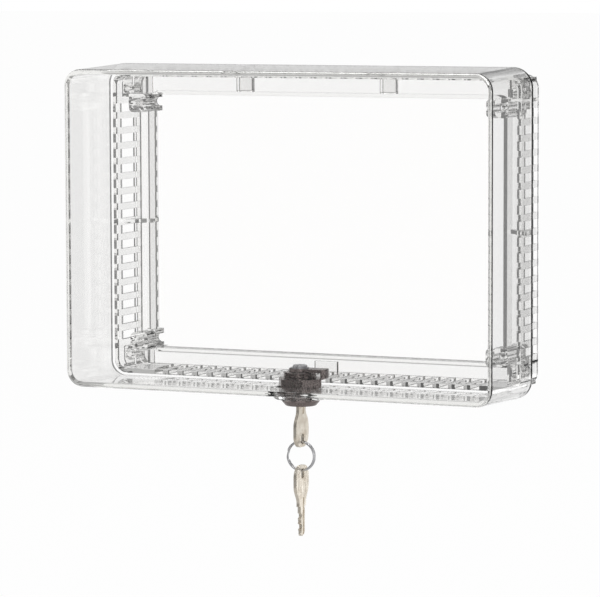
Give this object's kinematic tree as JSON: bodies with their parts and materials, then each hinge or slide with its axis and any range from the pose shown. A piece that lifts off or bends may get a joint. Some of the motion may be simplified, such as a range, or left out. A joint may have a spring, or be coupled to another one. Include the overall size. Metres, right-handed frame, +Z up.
{
  "type": "thermostat lock box",
  "caption": "Clear two-piece wall guard: a vented base ring round a window, an open-backed cover hooked on its top, a cam lock below with a key in it and a spare on a split ring.",
  "frame": {"origin": "centre of the base's back face, on the wall plane", "axes": "+Y into the wall, +Z up, +X to the right of someone facing the box"},
  "size_m": [0.2194, 0.07, 0.2211],
  "materials": {
    "clear_plastic": "polished clear moulding",
    "black_metal": "black, satin",
    "zinc": "bright zinc plate",
    "brass": "stamped",
    "spring_steel": "drawn wire",
    "nickel": "warm nickel silver, tumbled",
    "ring_steel": "bright nickel plate"
  },
  "bodies": {
    "base": {"base": "clear_plastic"},
    "cover": {"cover": "clear_plastic", "lock_body": "black_metal", "lock_nut": "black_metal", "lock_washer": "black_metal"},
    "plug": {"lock_plug": "black_metal", "wafer_1": "brass", "wafer_2": "brass", "wafer_3": "brass", "wafer_4": "brass", "wafer_spring_1": "spring_steel", "wafer_spring_2": "spring_steel", "wafer_spring_3": "spring_steel", "wafer_spring_4": "spring_steel", "cam": "black_metal", "cam_washer": "zinc", "cam_screw": "zinc"},
    "key": {"key": "nickel"},
    "key_ring": {"key_ring": "ring_steel"},
    "spare_key": {"spare_key": "nickel"}
  },
  "joints": [
    {"name": "cover_swing", "type": "hinge", "parent": "base", "child": "cover", "pos_m": [0, -0.0195, 0.06447], "axis": [1, 0, 0], "range_deg": [-18, 0]},
    {"name": "cam_turn", "type": "hinge", "parent": "cover", "child": "plug", "pos_m": [0, -0.0388, -0.07909], "axis": [0, 0, 1], "range_deg": [0, 90]},
    {"name": "key_slide", "type": "slide", "parent": "plug", "child": "key", "axis": [0, 0, -1], "range_m": [0, 0.018]},
    {"name": "ring_swing", "type": "hinge", "parent": "key", "child": "key_ring", "pos_m": [0, -0.0388, -0.09969], "axis": [1, 0, 0], "range_deg": [-25, 25]},
    {"name": "spare_key_swing", "type": "hinge", "parent": "key_ring", "child": "spare_key", "pos_m": [0, -0.0388, -0.11329], "axis": [1, 0, 0], "range_deg": [-30, 30]}
  ]
}
